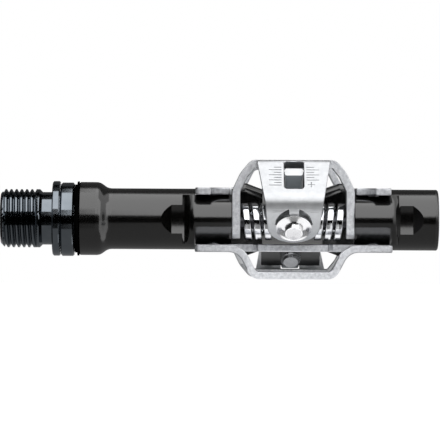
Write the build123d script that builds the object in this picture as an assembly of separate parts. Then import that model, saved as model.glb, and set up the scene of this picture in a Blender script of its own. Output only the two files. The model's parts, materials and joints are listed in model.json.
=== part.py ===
from build123d import *
import math
import os

# A double-sided clipless bicycle pedal for the right-hand crank, in millimetres.
# X runs outboard along the spindle axis from the crank-side shoulder face, Y points
# forward and Z is up. The lower side is the upper side turned half a turn about X.

# ---- Fits -------------------------------------------------------------------------
running_gap = 0.05  # radial gap of a shaft that turns in its hole
seat_gap = 0.02  # radial gap of a part that stays fixed in its seat
side_gap = 0.10  # gap between flat faces that slide past each other
free_gap = 0.30  # gap between parts that never touch

# ---- Spindle ----------------------------------------------------------------------
thread_diameter = 14.288  # 9/16 inch crank thread
thread_length = 12.7
thread_chamfer = 1.0
relief_diameter = 12.9
relief_length = 3.2
flange_diameter = 18.3
flange_width = 1.9
flange_chamfer = 0.3
wrench_socket_flats = 8.0
wrench_socket_depth = 9.0
neck_diameter = 13.0
journal_diameter = 10.0
shaft_diameter = 8.8
shaft_taper = 1.2
bearing_shoulder_diameter = 6.4
bearing_shoulder_width = 2.0

# ---- Dust ring and rubber seal on the neck -----------------------------------------
ring_width = 3.35
ring_diameter = 18.0
ring_chamfer = 0.4
ring_drop = 0.2  # the loose ring hangs on the neck
ring_side_gap = 0.1
seal_nose_diameter = 16.7
seal_nose_width = 0.6
seal_lip_diameter = 18.2
seal_lip_width = 0.4
seal_plug_diameter = 15.0
seal_plug_width = 1.8

# ---- Body ------------------------------------------------------------------------
body_head_diameter = 17.9
body_head_width = 4.15
body_neck_width = 3.9  # the curve from the head down to the tube
body_edge = 0.35
tube_diameter = 14.9
body_end = 93.3
bushing_diameter = 12.0
bushing_length = 12.0
body_bore_diameter = 9.9
middle = 58.5  # X of the claws, cages and springs
boss_margin = 0.2  # from the wing's outer end to the boss's outer face
boss_nose_radius = 5.0
boss_flat_half = 9.6
seat_height = 5.95  # half the distance between the two cage seats
inboard_flare_radius = 3.0
outboard_flare_radius = 2.2
scoop_depth = 1.3
scoop_radius = 14.0  # of the hollow across the spindle
scoop_slope = 27.0  # of the ramp that leads out of the hollow
scoop_start = 1.2  # from the boss face
scoop_floor = 4.4
pad_height = 8.8
pad_inset = 1.7  # from the boss face to the pad's flat top
pad_flat_width = 3.6
pad_slope = 20.5
pad_rear_bend = 2.2
pad_width = 7.5
pad_rear = 9.8
pad_front = 7.3
pad_ledge_start = 2.3  # from the boss face, clear of the claw ear

# ---- Cages -----------------------------------------------------------------------
cage_thickness = 1.75
wing_width = 8.3
wing_setback = 0.47  # from the boss's inner face to the wing's inner edge
wing_rear = 16.5
wing_front = 22.5
wing_corner = 1.0
wing_relief_radius = 4.5
loop_width = 5.5
loop_height = 14.12
loop_foot_setback = 2.0  # from the wing's inner edge to where the leg meets the wing top
loop_lean = 27.4
loop_corner = 3.2
loop_foot_bend = 3.8
crossbar_rear = 8.0
crossbar_front = 13.8
crossbar_relief_half = 9.1
crossbar_relief_width = 1.0
crossbar_relief_depth = 2.0
cage_screw_y = 8.5
cage_screw_diameter = 4.0
cage_screw_head_diameter = 7.2
cage_screw_reach = 4.4
cage_screw_key = 2.5
cage_screw_key_depth = 1.3

# ---- Rear claws ------------------------------------------------------------------
ear_outer_half = 14.73
pivot_y = -13.0
pivot_z = -0.5
pin_diameter = 3.4
pin_end_margin = 1.8
claw_thickness = 2.0
claw_height = 14.4
claw_lip_y = -13.4
ear_bottom = -4.55
ear_reach = 4.1  # from the pivot to the ear's front and rear edges
ear_rear_corner = 1.8
ear_front_corner = 3.4
ear_bend_height = 7.15
ear_bend_radius = 4.0
ear_lean = 25.5
ear_knee_height = 11.3  # the legs lean further above this height
ear_knee_radius = 6.0
ear_knee_lean = 39.5
ear_waist_height = 11.2
claw_corner = 2.4
face_tilt = 45.0  # the upper face and the tension bolt both rise at this angle
bolt_height = -1.75
bolt_pin_offset = 5.6
web_depth = 4.34  # from the web's front edge back to the upper face
face_bend_radius = 3.6
web_bend_radius = 2.6
tongue_top_half = 8.9
tongue_bend_half = 6.95
tongue_bolt_half = 6.25
tongue_tip_height = -5.4
window_width = 4.7
window_start = 4.85  # along the bolt axis from the lower face
window_end = 14.1
window_corner = 0.8
crescent_width = 4.55
crescent_height = 6.0
crescent_tab = 2.4
crescent_floor = 0.8

# ---- Tension adjuster --------------------------------------------------------------
bolt_diameter = 5.0
bolt_reach = 17.6
bolt_head_diameter = 8.5
bolt_head_rim = 0.4
bolt_head_height = 2.1
bolt_head_flat = 2.1
bolt_key = 3.5
bolt_key_depth = 1.5
nut_thickness = 2.6
nut_half_width = 7.3
nut_hub_radius = 3.8
nut_travel_out = 0.8
indicator_width = 4.4
indicator_length = 2.4
indicator_recess = 0.55
indicator_overhang = 0.35  # over the nut's upper edge
indicator_corner = 0.6

# ---- Torsion springs ---------------------------------------------------------------
coil_radius = 4.45
wire_width = 1.7
wire_height = 1.8
coil_pitch = 2.35
coil_turns = 2.875
coil_start = 1.05  # from the ear's inner face to the middle of the first turn
active_leg_height = 3.4

# ---- Outboard cartridge bearing, 5 x 11 x 4 -----------------------------------------
bearing_start = 82.4
bearing_bore = 5.0
bearing_diameter = 11.0
bearing_width = 4.0
ball_diameter = 1.6
ball_count = 10
inner_land_radius = 3.45
outer_land_radius = 4.6
retainer_thickness = 0.56
retainer_width = 2.3
shield_thickness = 0.2
shield_inset = 0.1
groove_gap = 0.04
washer_thickness = 0.4
washer_diameter = 8.0
lock_nut_flats = 8.0
lock_nut_width = 2.4
spindle_tip_margin = 0.4

# ---- End cap -----------------------------------------------------------------------
cap_flange_width = 0.9
cap_corner = 0.5
cap_plug_length = 3.3
cap_key = 5.0
cap_key_depth = 3.0
oring_thickness = 1.1
oring_inset = 1.1

# ---- Sizes that follow from the ones above ------------------------------------------
ring_start = flange_width + ring_side_gap
seal_start = ring_start + ring_width + side_gap
body_start = seal_start + seal_nose_width + seal_lip_width
bushing_start = body_start + seal_plug_width + ring_side_gap
bushing_end = bushing_start + bushing_length
boss_inner_half = ear_outer_half + side_gap
wing_inner_half = boss_inner_half + wing_setback
wing_outer_half = wing_inner_half + wing_width
boss_start = middle - wing_outer_half - boss_margin
boss_end = middle + wing_outer_half + boss_margin
cage_screw_x = (wing_inner_half + wing_outer_half) / 2
bearing_end = bearing_start + bearing_width
washer_end = bearing_end + washer_thickness
lock_nut_end = washer_end + lock_nut_width
spindle_end = lock_nut_end + spindle_tip_margin
neck_end = bushing_start - side_gap
cage_top = seat_height + cage_thickness
loop_foot_half = wing_inner_half - loop_foot_setback
loop_top_half = loop_foot_half - (loop_height - cage_top) * math.tan(math.radians(loop_lean))
ear_knee_half = ear_outer_half - (ear_knee_height - ear_bend_height) * math.tan(math.radians(ear_lean))
claw_top_half = ear_knee_half - (claw_height - ear_knee_height) * math.tan(math.radians(ear_knee_lean))
tilt = math.radians(face_tilt)
bolt_y = pivot_y - (bolt_pin_offset + (pivot_z - bolt_height) * math.cos(tilt)) / math.sin(tilt)
web_rear_y = claw_lip_y - web_depth
face_offset = (claw_height - bolt_height) * math.cos(tilt) + (bolt_y - web_rear_y) * math.sin(tilt)
coil_middle_radius = coil_radius - wire_height / 2
ledge_height = pivot_z + coil_radius + side_gap


def along_bolt(reach, rise):
    """Point (y, z) at a reach along the tension bolt and a rise square to it."""
    y = bolt_y + reach * math.cos(tilt) - rise * math.sin(tilt)
    z = bolt_height + reach * math.sin(tilt) + rise * math.cos(tilt)
    return y, z


def reach_of(y, z):
    """Distance along the tension bolt of a point (y, z)."""
    return (y - bolt_y) * math.cos(tilt) + (z - bolt_height) * math.sin(tilt)


nut_start = reach_of(pivot_y, pivot_z) + coil_radius + running_gap
nut_end = nut_start + nut_thickness
web_underside = claw_height - claw_thickness
nut_top = (web_underside - free_gap - bolt_height) / math.cos(tilt)
nut_top -= (nut_end + nut_travel_out) * math.tan(tilt)
nut_bottom = -bolt_pin_offset + coil_radius + 2 * free_gap

bolt_frame = Plane(
    origin=(middle, bolt_y, bolt_height),
    x_dir=(-1, 0, 0),
    z_dir=(0, math.cos(tilt), math.sin(tilt)),
)  # x across, y rises square to the bolt, z runs along the bolt
face_frame = Plane(
    origin=(middle, bolt_y, bolt_height),
    x_dir=(1, 0, 0),
    z_dir=(0, -math.sin(tilt), math.cos(tilt)),
)  # x across, y runs along the bolt, z rises square to the upper face


# ---- Helpers -----------------------------------------------------------------------
def turned(profile):
    """Solid turned about the X axis from (x, radius) points."""
    return revolve(make_face(Polyline(*profile, close=True)), Axis.X)


def across(x):
    """Plane square to the spindle at x, with local x forward and local y up."""
    return Plane.YZ.offset(x)


def rod_x(start, end, radius, y=0, z=0):
    """Round rod parallel to the spindle."""
    return extrude(across(start) * Pos(y, z) * Circle(radius), end - start)


def hex_recess(frame, flats, depth):
    """Hexagonal recess along a frame's Z axis, with two flats square to its local x."""
    return extrude(frame * RegularPolygon(flats / 2, 6, major_radius=False, rotation=30), depth)


def both_ends(shape):
    """A shape and its mirror image about the middle of the claws."""
    return shape + mirror(shape, about=Plane.YZ.offset(middle))


def turned_over(shape):
    """The same piece on the other side of the pedal."""
    return Rot(180, 0, 0) * shape


def bent_sheet(path, thickness, side):
    """Section of a bent sheet: an outside line and its offset."""
    return make_face(offset(path, amount=thickness, side=side).edges())


# ---- Spindle and the pieces fixed to it ----------------------------------------------
def make_spindle():
    thread = thread_diameter / 2
    relief = relief_diameter / 2
    flange = flange_diameter / 2
    neck = neck_diameter / 2
    journal = journal_diameter / 2
    shaft = shaft_diameter / 2
    shoulder = bearing_shoulder_diameter / 2
    tip = bearing_bore / 2
    waist_end = bearing_start - bearing_shoulder_width
    profile = [
        (-thread_length, 0),
        (-thread_length, thread - thread_chamfer),
        (-thread_length + thread_chamfer, thread),
        (-relief_length, thread),
        (-relief_length + thread - relief, relief),
        (0, relief),
        (0, flange - flange_chamfer),
        (flange_chamfer, flange),
        (flange_width - flange_chamfer, flange),
        (flange_width, flange - flange_chamfer),
        (flange_width, neck),
        (neck_end, neck),
        (neck_end, journal),
        (bushing_end - shaft_taper, journal),
        (bushing_end, shaft),
        (waist_end - shaft_taper, shaft),
        (waist_end, shoulder),
        (bearing_start, shoulder),
        (bearing_start, tip),
        (spindle_end - body_edge, tip),
        (spindle_end, tip - body_edge),
        (spindle_end, 0),
    ]
    socket = hex_recess(across(-thread_length), wrench_socket_flats, wrench_socket_depth)
    return turned(profile) - socket


def make_spindle_collar():
    outer = ring_diameter / 2
    bore = neck_diameter / 2 + ring_drop + running_gap
    end = ring_start + ring_width
    profile = [
        (ring_start, bore),
        (ring_start, outer - ring_chamfer),
        (ring_start + ring_chamfer, outer),
        (end - ring_chamfer, outer),
        (end, outer - ring_chamfer),
        (end, bore),
    ]
    return Pos(0, 0, -ring_drop) * turned(profile)


def groove(land_side, pitch_radius):
    """Ring that cuts the ball groove of a race."""
    path_frame = Plane.XY * Pos((bearing_start + bearing_end) / 2, pitch_radius)
    return revolve(path_frame * Circle(ball_diameter / 2 + groove_gap), Axis.X) & land_side


ball_circle = (inner_land_radius + outer_land_radius) / 2


def make_bearing_inner_race():
    bore = bearing_bore / 2 + seat_gap
    race = turned([(bearing_start, bore), (bearing_start, inner_land_radius),
                   (bearing_end, inner_land_radius), (bearing_end, bore)])
    return race - groove(race, ball_circle)


def make_bearing_outer_race():
    outer = bearing_diameter / 2 - seat_gap
    race = turned([(bearing_start, outer_land_radius), (bearing_start, outer),
                   (bearing_end, outer), (bearing_end, outer_land_radius)])
    return race - groove(race, ball_circle)


def ball_places():
    """Centres of the bearing balls."""
    return Plane.YZ.offset((bearing_start + bearing_end) / 2) * PolarLocations(ball_circle, ball_count)


def make_bearing_balls():
    return Compound(children=[place * Sphere(ball_diameter / 2) for place in ball_places()])


def make_bearing_cage():
    centre = (bearing_start + bearing_end) / 2
    inner = ball_circle - retainer_thickness / 2
    outer = ball_circle + retainer_thickness / 2
    ring = rod_x(centre - retainer_width / 2, centre + retainer_width / 2, outer)
    ring -= rod_x(centre - retainer_width / 2, centre + retainer_width / 2, inner)
    for place in ball_places():
        ring -= place * Rot(0, 90, 0) * Cylinder(ball_diameter / 2 + groove_gap, ball_diameter)
    return ring


def make_bearing_shields():
    outer = outer_land_radius - seat_gap
    inner = inner_land_radius + running_gap
    shields = []
    for start in (bearing_start + shield_inset, bearing_end - shield_inset - shield_thickness):
        end = start + shield_thickness
        shields.append(turned([(start, inner), (start, outer), (end, outer), (end, inner)]))
    return Compound(children=shields)


def make_lock_washer():
    bore = bearing_bore / 2 + running_gap
    return turned([(bearing_end, bore), (bearing_end, washer_diameter / 2),
                   (washer_end, washer_diameter / 2), (washer_end, bore)])


def make_lock_nut():
    nut = hex_recess(across(washer_end), lock_nut_flats, lock_nut_width)
    corner = lock_nut_flats / 2 / math.cos(math.radians(30))
    half = lock_nut_flats / 2
    crown = turned([(washer_end, 0), (washer_end, corner), (lock_nut_end - (corner - half), corner),
                    (lock_nut_end, half), (lock_nut_end, 0)])
    return (nut & crown) - rod_x(washer_end, lock_nut_end, bearing_bore / 2 + running_gap)


# ---- Body and the pieces fixed in it ---------------------------------------------------
def body_core():
    """Turned outside of the body: the head, its neck and the tube."""
    head = body_head_diameter / 2
    tube = tube_diameter / 2
    neck_start = body_start + body_head_width
    neck_stop = neck_start + body_neck_width
    middle_of_neck = (neck_start + neck_stop) / 2
    outline = [
        Polyline((body_start, 0), (body_start, head - body_edge), (body_start + body_edge, head),
                 (neck_start, head)),
        Bezier((neck_start, head), (middle_of_neck, head), (middle_of_neck, tube), (neck_stop, tube)),
        Polyline((neck_stop, tube), (body_end, tube), (body_end, 0), (body_start, 0)),
    ]
    return revolve(make_face(Curve() + outline), Axis.X)


def boss_section():
    """Slab across the spindle with a round nose at each claw pivot."""
    nose = Circle(boss_nose_radius)
    edges = (Pos(pivot_y) * nose).edges() + (Pos(-pivot_y) * nose).edges()
    edges += Rectangle(2 * boss_flat_half, 2 * seat_height).edges()
    return make_hull(edges)


def flare(face_x, radius, direction):
    """Turned concave flare that leads a boss face down to the tube."""
    tube = tube_diameter / 2
    foot_x = face_x + direction * radius
    rim = tube + radius
    arc = RadiusArc((face_x, rim), (foot_x, tube), direction * radius)
    outline = [
        arc,
        Polyline((foot_x, tube), (foot_x, 0), (middle, 0), (middle, 2 * rim), (face_x, 2 * rim),
                 (face_x, rim)),
    ]
    return revolve(make_face(Curve() + outline), Axis.X)


def scoop(face_x, direction):
    """Hollows in both flanks beside a boss, each with a ramp out to the tube."""
    ramp = 2 * scoop_depth / math.tan(math.radians(scoop_slope))
    lead = scoop_depth / 2
    stations = [(0, scoop_radius - 2 * scoop_depth), (lead, scoop_radius - scoop_depth / 2),
                (2 * lead, scoop_radius), (scoop_floor, scoop_radius),
                (scoop_floor + ramp, scoop_radius - 2 * scoop_depth)]
    ends = [(stations[-1][0], 0), (stations[0][0], 0)]
    profile = [(face_x + direction * (scoop_start + x), radius) for x, radius in stations + ends]
    axis_y = tube_diameter / 2 - scoop_depth + scoop_radius
    flank = Pos(0, -axis_y, 0) * turned(profile)
    return flank + turned_over(flank)


def boss(face_x, inner_x, radius, direction):
    """One boss with its flare; the hollows are cut from the whole body."""
    foot_x = face_x + direction * radius
    start = min(foot_x, inner_x)
    slab = extrude(across(start) * boss_section(), abs(foot_x - inner_x))
    return slab & flare(face_x, radius, direction)


def contact_pad():
    """Inboard upper pad under the cleat, with a ledge that holds the spring's fixed leg."""
    start = middle - boss_inner_half
    end = start + pad_width
    low = pad_height - (pad_width - pad_flat_width) * math.tan(math.radians(pad_slope))
    side = Polyline((start, 0), (start, seat_height), (start + pad_inset, pad_height),
                    (start + pad_flat_width, pad_height), (end, low), (end, 0), close=True)
    block_rear = tube_diameter / 2 - free_gap
    block = extrude(Plane.XZ.offset(-pad_front) * make_face(side), pad_front + block_rear)
    ledge = extrude(Plane.XZ.offset(-pad_front) * make_face(side), pad_front + pad_rear)
    ledge &= Box(end - start - pad_ledge_start, 2 * pad_rear, pad_height - ledge_height,
                 align=(Align.MAX, Align.CENTER, Align.MIN)).moved(Pos(end, 0, ledge_height))
    rear_edges = ledge.faces().sort_by(Axis.Y)[0].edges().group_by(Axis.Z)
    ledge = fillet(rear_edges[-1] + rear_edges[-2], pad_rear_bend)
    return block + ledge


def make_pedal_body():
    inner_start = middle - boss_inner_half
    inner_end = middle + boss_inner_half
    body = body_core()
    body += boss(boss_start, inner_start, inboard_flare_radius, -1)
    body += boss(boss_end, inner_end, outboard_flare_radius, 1)
    body -= scoop(boss_start, -1)
    body -= scoop(boss_end, 1)
    pads = both_ends(contact_pad())
    body += pads
    body += turned_over(pads)
    body -= rod_x(body_start, bushing_start, seal_plug_diameter / 2)
    body -= rod_x(bushing_start, bushing_end, bushing_diameter / 2)
    body -= rod_x(bushing_end, bearing_start, body_bore_diameter / 2)
    body -= rod_x(bearing_start, body_end, bearing_diameter / 2)
    seat = wing_outer_half + side_gap - boss_inner_half
    flat = Box(seat, 2 * boss_flat_half, tube_diameter, align=(Align.MIN, Align.CENTER, Align.MIN))
    flats = both_ends(Pos(inner_start - seat, 0, seat_height) * flat)
    body -= flats
    body -= turned_over(flats)
    pin_hole = rod_x(boss_start + pin_end_margin, boss_end, pin_diameter / 2 + seat_gap, pivot_y, pivot_z)
    body -= pin_hole
    body -= turned_over(pin_hole)
    for place in cage_screw_places():
        hole = place * Pos(0, 0, seat_height - cage_screw_reach / 2 - free_gap / 2)
        hole = hole * Cylinder(cage_screw_diameter / 2 + seat_gap, cage_screw_reach + free_gap)
        body -= hole
        body -= turned_over(hole)
    return body


def make_inboard_seal():
    bore = neck_diameter / 2 + running_gap
    nose = seal_nose_diameter / 2
    lip = seal_lip_diameter / 2
    plug = seal_plug_diameter / 2 - seat_gap
    lip_start = seal_start + seal_nose_width
    profile = [
        (seal_start, bore),
        (seal_start, nose),
        (lip_start, nose),
        (lip_start, lip),
        (body_start, lip),
        (body_start, plug),
        (body_start + seal_plug_width, plug),
        (body_start + seal_plug_width, bore),
    ]
    return turned(profile)


def make_inboard_bushing():
    outer = bushing_diameter / 2 - seat_gap
    bore = journal_diameter / 2 + running_gap
    start = bushing_start + side_gap
    end = bushing_end - side_gap
    return turned([(start, bore), (start, outer), (end, outer), (end, bore)])


def make_end_cap():
    flange = tube_diameter / 2
    plug = bearing_diameter / 2 - seat_gap
    plug_start = body_end - cap_plug_length
    groove_start = body_end - oring_inset - oring_thickness
    groove_end = body_end - oring_inset + side_gap
    groove_radius = bearing_diameter / 2 - 2 * running_gap - oring_thickness
    flange_end = body_end + cap_flange_width
    profile = [
        (plug_start, 0),
        (plug_start, plug),
        (groove_start - side_gap, plug),
        (groove_start - side_gap, groove_radius),
        (groove_end, groove_radius),
        (groove_end, plug),
        (body_end, plug),
        (body_end, flange),
        (flange_end, flange),
        (flange_end, 0),
    ]
    section = make_face(Polyline(*profile, close=True))
    rim = section.vertices().group_by(Axis.X)[-1].sort_by(Axis.Y)[-1]
    key = hex_recess(across(flange_end - cap_key_depth), cap_key, cap_key_depth)
    return revolve(fillet(rim, cap_corner), Axis.X) - key


def make_end_cap_oring():
    centre = body_end - oring_inset - oring_thickness / 2
    radius = bearing_diameter / 2 - running_gap - oring_thickness / 2
    return revolve(Plane.XY * Pos(centre, radius) * Circle(oring_thickness / 2), Axis.X)


def make_upper_pivot_pin():
    margin = running_gap + free_gap
    start = boss_start + pin_end_margin + margin
    return rod_x(start, boss_end - margin, pin_diameter / 2, pivot_y, pivot_z)


# ---- Cages and their screws ------------------------------------------------------------
def cage_screw_places():
    """Places of the four screws of the upper cage."""
    return [Pos(middle + side * cage_screw_x, row * cage_screw_y, 0) for side in (-1, 1) for row in (-1, 1)]


def wing_plan():
    """Plan outline of the inboard wing."""
    outer = middle - wing_outer_half
    inner = middle - wing_inner_half
    width = inner - outer
    length = wing_front + wing_rear
    plan = Pos(outer + width / 2, (wing_front - wing_rear) / 2) * Rectangle(width, length)
    plan = fillet(plan.vertices().group_by(Axis.X)[0], wing_corner)
    return plan - Pos(inner, -wing_rear) * Circle(wing_relief_radius)


def crossbar_plan():
    """Plan outline of the bar that joins the wings under the loop."""
    width = crossbar_front - crossbar_rear
    bar = Pos(middle, crossbar_rear + width / 2) * Rectangle(2 * wing_inner_half + cage_thickness, width)
    for side in (-1, 1):
        notch = Rectangle(crossbar_relief_width, 2 * crossbar_relief_depth)
        bar -= Pos(middle + side * crossbar_relief_half, crossbar_front) * notch
    return bar


def loop_section():
    """Section of the raised front loop, seen from the front."""
    line = FilletPolyline(
        (middle - wing_inner_half - cage_thickness, cage_top),
        (middle - loop_foot_half, cage_top),
        (middle - loop_top_half, loop_height),
        (middle + loop_top_half, loop_height),
        (middle + loop_foot_half, cage_top),
        (middle + wing_inner_half + cage_thickness, cage_top),
        radius=[loop_foot_bend, loop_corner, loop_corner, loop_foot_bend],
    )
    return bent_sheet(line, cage_thickness, Side.RIGHT)


def make_upper_cage():
    plan = both_ends(wing_plan()) + crossbar_plan()
    cage = extrude(Plane.XY.offset(seat_height) * plan, cage_thickness)
    cage += extrude(Plane.XZ.offset(-wing_front) * loop_section(), loop_width)
    head = cage_screw_head_diameter / 2 + running_gap
    shank = cage_screw_diameter / 2 + running_gap
    sink = head - shank
    for place in cage_screw_places():
        cage -= place * Pos(0, 0, cage_top - sink / 2) * Cone(shank, head, sink)
        cage -= place * Pos(0, 0, cage_top - cage_thickness) * Cylinder(shank, 2 * cage_thickness)
    return cage


def cage_screw(place):
    """One countersunk screw of the upper cage."""
    head = cage_screw_head_diameter / 2 - side_gap
    shank = cage_screw_diameter / 2 - seat_gap
    sink = head - shank
    bottom = seat_height - cage_screw_reach + running_gap
    screw = Pos(0, 0, cage_top - side_gap - sink / 2) * Cone(shank, head, sink)
    shank_top = cage_top - side_gap - sink
    screw += Pos(0, 0, (shank_top + bottom) / 2) * Cylinder(shank, shank_top - bottom)
    key_frame = Plane.XY.offset(cage_top - side_gap - cage_screw_key_depth)
    screw -= hex_recess(key_frame, cage_screw_key, cage_screw_key_depth)
    return place * screw


def make_upper_cage_screws():
    return Compound(children=[cage_screw(place) for place in cage_screw_places()])


# ---- Rear claws ------------------------------------------------------------------------
def ear_outline():
    """Side outline of the ears and of the legs above them."""
    rear = pivot_y - ear_reach
    front = pivot_y + ear_reach
    face = make_face(Polyline(
        (rear, ear_bottom), (front, ear_bottom), (front, pivot_z + ear_reach / 2),
        (claw_lip_y, ear_waist_height), (claw_lip_y, claw_height), (rear, claw_height), close=True))
    low = face.vertices().group_by(Axis.Y)[0].sort_by(Axis.X)
    face = fillet(low[0], ear_rear_corner)
    low = face.vertices().group_by(Axis.Y)[0].sort_by(Axis.X)
    return fillet(low[-1], ear_front_corner)


def bridge_section():
    """Front section of the claw's ears, legs and web."""
    line = FilletPolyline(
        (middle - ear_outer_half, ear_bottom),
        (middle - ear_outer_half, ear_bend_height),
        (middle - ear_knee_half, ear_knee_height),
        (middle - claw_top_half, claw_height),
        (middle + claw_top_half, claw_height),
        (middle + ear_knee_half, ear_knee_height),
        (middle + ear_outer_half, ear_bend_height),
        (middle + ear_outer_half, ear_bottom),
        radius=[ear_bend_radius, ear_knee_radius, claw_corner, claw_corner, ear_knee_radius, ear_bend_radius],
    )
    return bent_sheet(line, claw_thickness, Side.RIGHT)


def tongue_section():
    """Side section of the web, the upper face and the tongue under the bolt head."""
    tip_rise = (tongue_tip_height - bolt_height) / math.cos(tilt) - claw_thickness
    line = FilletPolyline(
        (claw_lip_y, claw_height),
        (web_rear_y, claw_height),
        along_bolt(0, face_offset),
        along_bolt(0, tip_rise),
        radius=[web_bend_radius, face_bend_radius],
    )
    return bent_sheet(line, claw_thickness, Side.LEFT)


def tongue_outline():
    """Front outline of the upper face and the tongue."""
    bend_height = along_bolt(0, face_offset)[1]
    sides = make_face(Polyline(
        (middle - tongue_top_half, claw_height), (middle + tongue_top_half, claw_height),
        (middle + tongue_bend_half, bend_height), (middle + tongue_bolt_half, bolt_height),
        (middle - tongue_bolt_half, bolt_height), (middle - tongue_bend_half, bend_height), close=True))
    return sides + Pos(middle, bolt_height) * Ellipse(tongue_bolt_half, bolt_height - tongue_tip_height)


def crescents():
    """Pair of curved slots beside the tab above the bolt head."""
    gap = Ellipse(crescent_width, crescent_height) - Circle(bolt_head_diameter / 2 - side_gap)
    above = Pos(0, crescent_floor + crescent_height / 2) * Rectangle(2 * crescent_width, crescent_height)
    return (gap & above) - Rectangle(crescent_tab, 2 * crescent_height)


def make_upper_claw():
    far = -bolt_y + face_offset + claw_height
    bridge = extrude(Plane.XZ * bridge_section(), far)
    bridge &= extrude(across(0) * ear_outline(), 2 * middle)
    tongue = extrude(across(0) * tongue_section(), 2 * middle)
    tongue &= extrude(Plane.XZ * tongue_outline(), far)
    claw = bridge + tongue
    claw -= rod_x(0, 2 * middle, pin_diameter / 2 + running_gap, pivot_y, pivot_z)
    claw -= bolt_frame * Cylinder(bolt_diameter / 2 + running_gap, 3 * claw_thickness)
    claw -= extrude(bolt_frame * crescents(), 2 * claw_thickness, both=True)
    slot = Pos(0, (window_start + window_end) / 2)
    slot = slot * RectangleRounded(window_width, window_end - window_start, window_corner)
    claw -= extrude(face_frame.offset(face_offset - 1.5 * claw_thickness) * slot, 2 * claw_thickness)
    return claw


# ---- Tension adjuster --------------------------------------------------------------------
def make_upper_tension_bolt():
    head = bolt_head_diameter / 2
    shank = bolt_diameter / 2
    edge = 2 * body_edge
    dome = SagittaArc((head, -bolt_head_rim), (bolt_head_flat, -bolt_head_height), -body_edge)
    outline = [
        Polyline((0, -bolt_head_height), (0, bolt_reach), (shank - edge, bolt_reach),
                 (shank, bolt_reach - edge), (shank, 0), (head, 0), (head, -bolt_head_rim)),
        dome,
        Line((bolt_head_flat, -bolt_head_height), (0, -bolt_head_height)),
    ]
    bolt = revolve(make_face(Plane.XZ * (Curve() + outline)), Axis.Z)
    bolt -= hex_recess(Plane.XY.offset(-bolt_head_height), bolt_key, bolt_key_depth)
    return bolt_frame * bolt


def make_upper_tension_nut():
    height = nut_top - nut_bottom
    plate = Pos(0, nut_bottom + height / 2) * Rectangle(2 * nut_half_width, height) + Circle(nut_hub_radius)
    nut = extrude(bolt_frame.offset(nut_start) * plate, nut_thickness)
    hole = Cylinder(bolt_diameter / 2 + running_gap, 3 * nut_thickness)
    return nut - bolt_frame * Pos(0, 0, nut_start) * hole


def make_upper_tension_indicator():
    centre = nut_start - indicator_length / 2 + indicator_overhang
    tab = Pos(0, centre) * RectangleRounded(indicator_width, indicator_length, indicator_corner)
    bottom = bolt_diameter / 2 + free_gap
    hook = extrude(face_frame.offset(bottom) * tab, face_offset - indicator_recess - bottom)
    room = Rectangle(2 * nut_half_width, 2 * (nut_top + seat_gap)) + Circle(nut_hub_radius + seat_gap)
    return hook - extrude(bolt_frame.offset(nut_start - seat_gap) * room, nut_thickness)


# ---- Torsion springs -----------------------------------------------------------------------
def make_upper_spring_inboard():
    start = middle - ear_outer_half + claw_thickness + coil_start
    coil_frame = Plane(origin=(start, pivot_y, pivot_z), x_dir=(0, 0, 1), z_dir=(1, 0, 0))
    coil = Helix(pitch=coil_pitch, height=coil_pitch * coil_turns, radius=coil_middle_radius)
    wire_end = Plane(origin=coil @ 0, x_dir=(1, 0, 0), z_dir=coil % 0)
    turns = sweep(wire_end * Rectangle(wire_height, wire_width), path=coil, is_frenet=True)
    first, last = [turns.faces().sort_by_distance(coil @ end)[0] for end in (0, 1)]
    fixed_length = -pivot_y - tube_diameter / 2
    active_length = bolt_pin_offset + active_leg_height
    turned_by = 2 * math.pi * coil_turns
    spring = turns + extrude(first, fixed_length, dir=(0, -1, 0))
    spring += extrude(last, active_length, dir=(-math.sin(turned_by), math.cos(turned_by), 0))
    return coil_frame * spring


def far_end(shape):
    """The outboard twin of an inboard piece."""
    return mirror(shape, about=Plane.YZ.offset(middle))


# ---- Every piece, by name ----------------------------------------------------------------------
def make_pieces():
    """Every separate piece of the pedal, by name."""
    pieces = {
        "spindle": make_spindle(),
        "spindle_collar": make_spindle_collar(),
        "bearing_inner_race": make_bearing_inner_race(),
        "lock_washer": make_lock_washer(),
        "lock_nut": make_lock_nut(),
        "bearing_cage": make_bearing_cage(),
        "bearing_balls": make_bearing_balls(),
        "pedal_body": make_pedal_body(),
        "inboard_seal": make_inboard_seal(),
        "inboard_bushing": make_inboard_bushing(),
        "bearing_outer_race": make_bearing_outer_race(),
        "bearing_shields": make_bearing_shields(),
        "end_cap": make_end_cap(),
        "end_cap_oring": make_end_cap_oring(),
    }
    spring = make_upper_spring_inboard()
    doubled = {
        "cage": make_upper_cage(),
        "cage_screws": make_upper_cage_screws(),
        "pivot_pin": make_upper_pivot_pin(),
        "spring_inboard": spring,
        "spring_outboard": far_end(spring),
        "claw": make_upper_claw(),
        "tension_bolt": make_upper_tension_bolt(),
        "tension_nut": make_upper_tension_nut(),
        "tension_indicator": make_upper_tension_indicator(),
    }
    for name, shape in doubled.items():
        pieces["upper_" + name] = shape
        pieces["lower_" + name] = turned_over(shape)
    return pieces


os.makedirs("parts", exist_ok=True)
for name, shape in make_pieces().items():
    export_step(shape, "parts/" + name + ".step")
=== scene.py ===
"""Looks of a double-sided clipless pedal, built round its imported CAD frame.

The frame is in metres. X runs outboard along the spindle from the crank-side shoulder, Y points
forward and Z is up. The lower side of the pedal is the upper side turned half a turn about X.
Lengths are in metres, so a length in millimetres is written times MM, and angles are in degrees
where a name or comment doesn't say otherwise.
"""

import json
import logging
import math
from collections.abc import Callable
from dataclasses import dataclass, field
from enum import Enum

import bmesh
import bpy
from mathutils import Matrix, Vector
from mathutils.geometry import intersect_point_line

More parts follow.
